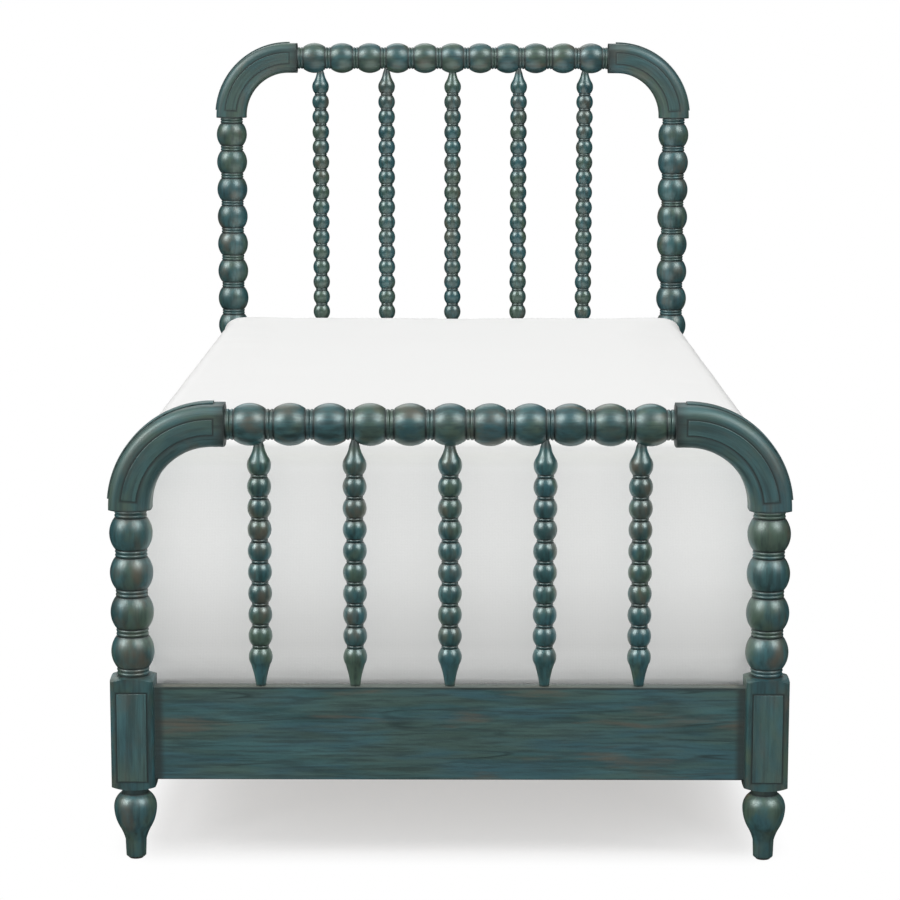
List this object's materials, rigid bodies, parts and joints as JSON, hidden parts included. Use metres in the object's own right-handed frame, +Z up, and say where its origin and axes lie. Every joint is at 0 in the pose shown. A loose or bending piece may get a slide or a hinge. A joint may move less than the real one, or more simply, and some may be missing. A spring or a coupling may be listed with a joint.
{
  "type": "spindle bed",
  "caption": "Painted twin spindle bed with ball-turned posts, top rails and spindles, curved corners, flat rails, slats and a plain white mattress.",
  "frame": {"origin": "on the floor under the middle of the bed", "axes": "+X to the right seen from the footboard, +Y from footboard to headboard, +Z up"},
  "size_m": [1.0708, 2.061, 1.2775],
  "materials": {
    "painted_wood": "blue-green paint, satin, dark glaze in the grooves",
    "plain_wood": "unfinished planed wood",
    "mattress_cover": "plain white cotton cover",
    "zinc_steel": "zinc plated",
    "glide_plastic": "moulded nylon"
  },
  "bodies": {
    "bed_frame": {"floor_glides": "glide_plastic", "foot_band_left": "painted_wood", "foot_band_right": "painted_wood", "foot_block_panel_left": "painted_wood", "foot_block_panel_right": "painted_wood", "foot_corner_left": "painted_wood", "foot_corner_right": "painted_wood", "foot_inlay_left": "painted_wood", "foot_inlay_right": "painted_wood", "foot_lower_rail": "painted_wood", "foot_post_left": "painted_wood", "foot_post_right": "painted_wood", "foot_spindle_1": "painted_wood", "foot_spindle_2": "painted_wood", "foot_spindle_3": "painted_wood", "foot_spindle_4": "painted_wood", "foot_spindle_5": "painted_wood", "foot_top_rail": "painted_wood", "half_moon_washers": "zinc_steel", "head_band_left": "painted_wood", "head_band_right": "painted_wood", "head_corner_left": "painted_wood", "head_corner_right": "painted_wood", "head_inlay_left": "painted_wood", "head_inlay_right": "painted_wood", "head_lower_rail": "painted_wood", "head_post_left": "painted_wood", "head_post_right": "painted_wood", "head_spindle_1": "painted_wood", "head_spindle_2": "painted_wood", "head_spindle_3": "painted_wood", "head_spindle_4": "painted_wood", "head_spindle_5": "painted_wood", "head_top_rail": "painted_wood", "ledge_screws": "zinc_steel", "rail_bolts": "zinc_steel", "rail_nuts": "zinc_steel", "side_rail_left": "painted_wood", "side_rail_right": "painted_wood", "slat_01": "plain_wood", "slat_02": "plain_wood", "slat_03": "plain_wood", "slat_04": "plain_wood", "slat_05": "plain_wood", "slat_06": "plain_wood", "slat_07": "plain_wood", "slat_08": "plain_wood", "slat_09": "plain_wood", "slat_10": "plain_wood", "slat_11": "plain_wood", "slat_12": "plain_wood", "slat_13": "plain_wood", "slat_14": "plain_wood", "slat_ledge_left": "plain_wood", "slat_ledge_right": "plain_wood", "slat_screws": "zinc_steel"},
    "bedding": {"mattress": "mattress_cover"}
  },
  "joints": [
    {"name": "mattress_lift", "type": "slide", "parent": "bed_frame", "child": "bedding", "axis": [0, 0, 1], "range_m": [0, 0.5]}
  ]
}
